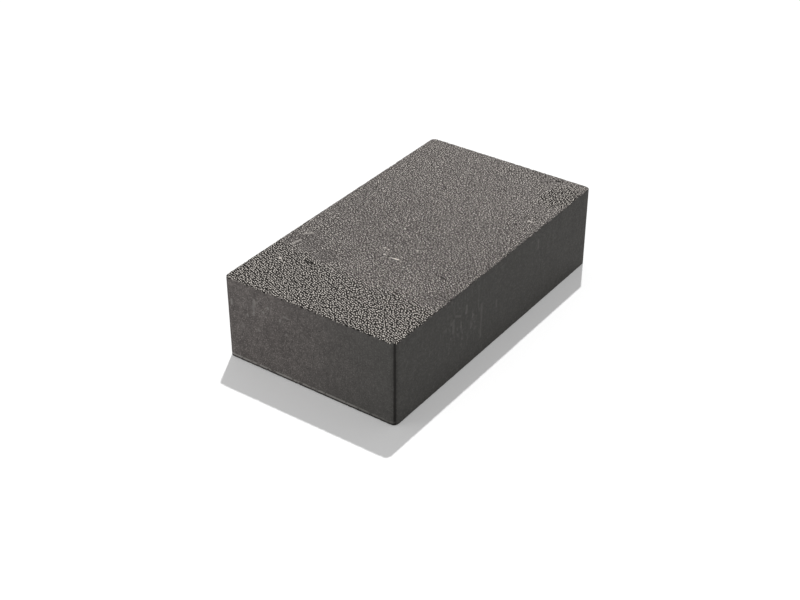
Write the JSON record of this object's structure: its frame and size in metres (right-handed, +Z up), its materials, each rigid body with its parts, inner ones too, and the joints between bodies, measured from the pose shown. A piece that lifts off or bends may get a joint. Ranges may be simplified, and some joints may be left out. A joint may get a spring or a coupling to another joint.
{
  "type": "concrete paving brick",
  "caption": "Rectangular pressed concrete paving block with a granular wear face, smooth moulded sides, rounded upright corners and softened rims.",
  "frame": {"origin": "centre of the bed face, the flat underside that the brick lies on", "axes": "+X along the length, +Y across the width, +Z up from the bed to the wear face"},
  "size_m": [0.23, 0.13, 0.06],
  "materials": {
    "concrete": "matte"
  },
  "bodies": {
    "root": {"paving_brick": "concrete"}
  },
  "joints": []
}
